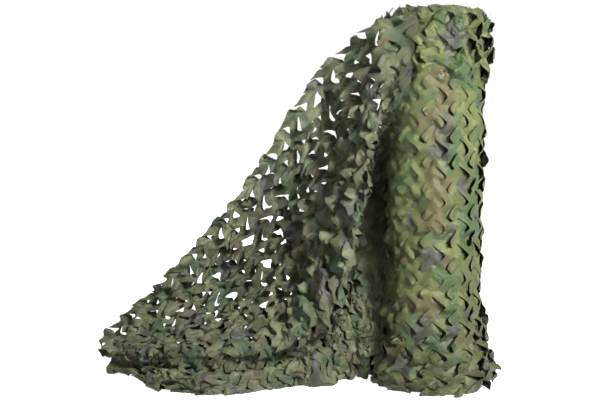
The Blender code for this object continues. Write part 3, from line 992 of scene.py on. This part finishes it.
def make_second_layer():
    """The next turn, drawn off with the loose end and passing behind its front ridge."""
    table = SURFACE[0]
    stop = int(0.38 * (table.shape[0] - 1))
    steps_, down = 60, table.shape[1]
    near, far = table[0].copy(), table[stop]
    near[:, 1] = np.maximum(near[:, 1], 0.045)
    near[:, 0] = -np.sqrt(np.maximum(roll_radius(np.full(down, LEAVES_AT), near[:, 2]) ** 2 - near[:, 1] ** 2, 0))
    path = np.empty((steps_ + 1, down, 3))
    for i, q in enumerate(np.linspace(0, 1, steps_ + 1)):
        if q < 0.22:                       # still on the roll, out of sight behind it
            angle = math.radians(132) + (LEAVES_AT - math.radians(132)) * q / 0.22
            r = roll_radius(np.full(down, angle), near[:, 2]) + 0.003
            path[i] = np.stack([r * math.cos(angle), r * math.sin(angle), near[:, 2]], axis=1)
        else:
            t = (q - 0.22) / 0.78
            path[i] = near * (1 - t) + far * t
            path[i, :, 1] += 0.150 * math.sin(math.pi * t) + 0.060 * t
            path[i, :, 0] -= 0.010 * math.sin(math.pi * t)
    length = np.linalg.norm(np.diff(path, axis=0), axis=2).sum(axis=0).mean()
    columns = int(round(length * 1.05 / HALF))
    flat, tri, stand, tile = lay_out(-columns, 0, COARSE, tall=SECOND_TALL)
    v = (CLOTH_WIDTH - flat[:, 1]) / SECOND_TALL
    place, right, up = read_table(path, -flat[:, 0] / (columns * HALF), 0.27 + 0.73 * v)
    normal = unit(np.cross(right, up))
    off = stand_off(stand, tile, RNG, 0.002, 0.008) + 0.008 * Waves(RNG, 0.11)(flat)
    x = np.zeros((len(place), 4))
    x[:, :3] = place + normal * off[:, None]
    stay_off_roll(0.002)(x)
    obj = shell("netting_second_layer", flat + [12.0, 0.0], tri, x[:, :3], (FACE_MAT, BACK_MAT))
    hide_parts("loose_end")
    return obj, columns * HALF


second, second_length = make_second_layer()


UNDER = (26, 0.75)          # half columns and height of the part folded under


def make_under_layer():
    """The far part of the drawn-off end, folded back under itself down to the floor."""
    table = SURFACE[0]
    flat, tri, stand, tile = lay_out(-UNDER[0], 0, COARSE, tall=UNDER[1])
    s = 0.04 + 0.95 * -flat[:, 0] / (UNDER[0] * HALF)
    v = (CLOTH_WIDTH - flat[:, 1]) / UNDER[1]
    start = 0.66 - 0.26 * smooth(0.25, 0.5, s) - 0.30 * smooth(0.60, 0.85, s)
    place, right, up = read_table(table, s, start + (0.985 - start) * v)
    normal = unit(np.cross(right, up))
    wave = Waves(RNG, 0.16)(flat)
    back = 0.022 + 0.008 * wave + 0.006 * Facets(RNG, 0.10, 6)(flat) + stand_off(stand, tile, RNG, -0.004, 0.010)
    place = place - normal * back[:, None]
    place[:, 2] = np.maximum(place[:, 2], 0.002 + 0.004 * (1 + Waves(RNG, 0.08)(flat)))
    x = np.zeros((len(place), 4))
    x[:, :3] = place
    stay_off_roll(0.002)(x)
    obj = shell("netting_folded_under", flat + [20.0, 0.0], tri, x[:, :3], (FACE_MAT, BACK_MAT))
    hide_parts("loose_end")
    return obj


under = make_under_layer()


def make_top():
    """The upper selvedges of the inner turns, wound in a spiral."""
    turns = 10
    outer, inner_r = 0.122, 0.016
    length = math.pi * (outer + inner_r) * turns
    columns = int(length / HALF)
    flat, tri, stand, tile = lay_out(0, columns, COARSE, tall=0.105)
    run = flat[:, 0]
    k = (outer ** 2 - inner_r ** 2) / length
    r = np.sqrt(np.maximum(outer ** 2 - k * run, inner_r ** 2))
    pitch = (outer - inner_r) / turns
    angle = LEAVES_AT + 2 * math.pi * (outer - r) / pitch
    down = CLOTH_WIDTH - flat[:, 1]
    wave = Waves(RNG, 0.09)(flat)
    out = r + 0.004 * wave + stand_off(stand, tile, RNG, 0.001, 0.004) + 0.10 * np.maximum(0.04 - down, 0)
    top = ROLL_TOP - 0.004 - TOP_DIP * smooth(0.0, 1.0, 1 - r / 0.135) + 0.006 * Waves(RNG, 0.14)(flat)
    place = np.stack([out * np.cos(angle), out * np.sin(angle), top - down], axis=1)
    obj = shell("netting_top_selvedges", flat + [7.0, 0.0], tri, place, (FACE_MAT, BACK_MAT))
    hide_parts("roll")
    return obj, columns * HALF


top, top_length = make_top()

# ---------------------------------------------------------------- camera, floor, light
scene = bpy.context.scene
scene.view_settings.view_transform = "Standard"
cam = bpy.data.cameras.new("camera")
cam.sensor_width, cam.lens = 36.0, 60.0
cam_obj = bpy.data.objects.new("camera", cam)
cam_obj.location = (-0.54, -4.0, 1.17)
cam_obj.rotation_euler = (math.radians(90 - 6.2), 0.0, 0.0)
scene.collection.objects.link(cam_obj)
scene.camera = cam_obj


def plain(name, colour, rough, glow=0.0):
    mat = bpy.data.materials.new(name)
    mat.use_nodes = True
    mat.node_tree.nodes["Principled BSDF"].inputs["Base Color"].default_value = colour
    mat.node_tree.nodes["Principled BSDF"].inputs["Roughness"].default_value = rough
    mat.node_tree.nodes["Principled BSDF"].inputs["Emission Color"].default_value = (1, 1, 1, 1)
    mat.node_tree.nodes["Principled BSDF"].inputs["Emission Strength"].default_value = glow
    return mat


mesh = bpy.data.meshes.new("floor")
mesh.from_pydata([(-15, -15, 0), (15, -15, 0), (15, 15, 0), (-15, 15, 0)], [], [(0, 1, 2, 3)])
floor = bpy.data.objects.new("floor", mesh)
mesh.materials.append(plain("floor_white", (0.92, 0.92, 0.92, 1), 0.9, 0.93))
scene.collection.objects.link(floor)
floor.visible_diffuse = False

# a plain white studio shell, seen by the camera but giving no light of its own
mesh = bpy.data.meshes.new("studio_shell")
bm = bmesh.new()
bmesh.ops.create_icosphere(bm, subdivisions=3, radius=20.0)
bm.to_mesh(mesh)
bm.free()
studio = bpy.data.objects.new("studio_shell", mesh)
mesh.materials.append(plain("shell_white", (0.0, 0.0, 0.0, 1), 1.0, 1.0))
scene.collection.objects.link(studio)
for flag in ("visible_diffuse", "visible_glossy", "visible_transmission", "visible_volume_scatter", "visible_shadow"):
    setattr(studio, flag, False)

world = bpy.data.worlds.new("studio")
scene.world = world
world.use_nodes = True
world.node_tree.nodes["Background"].inputs["Color"].default_value = (1.0, 1.0, 1.0, 1)
world.node_tree.nodes["Background"].inputs["Strength"].default_value = 0.08


def lamp(name, place, aim, size, power, colour=(1, 1, 1)):
    data = bpy.data.lights.new(name, "AREA")
    data.shape, data.size, data.size_y = "RECTANGLE", size[0], size[1]
    data.energy, data.color = power, colour
    obj = bpy.data.objects.new(name, data)
    obj.location = place
    obj.rotation_euler = (Vector(aim) - Vector(place)).to_track_quat("-Z", "Y").to_euler()
    scene.collection.objects.link(obj)
    return obj


lamp("key", (3.5, -5.5, 4.6), (-0.2, 0.0, 0.8), (1.3, 1.3), 1130.0)
accent = lamp("accent", (1.1, -4.3, 1.7), (0.06, 0.0, 0.93), (0.3, 0.3), 1.8)
accent.data.spread = math.radians(24)
lamp("fill", (-2.6, -3.6, 1.8), (-0.5, 0.0, 0.6), (2.2, 2.2), 22.0)
lamp("back", (-1.2, 4.8, 2.8), (-0.4, 0.0, 0.6), (2.6, 2.6), 95.0)
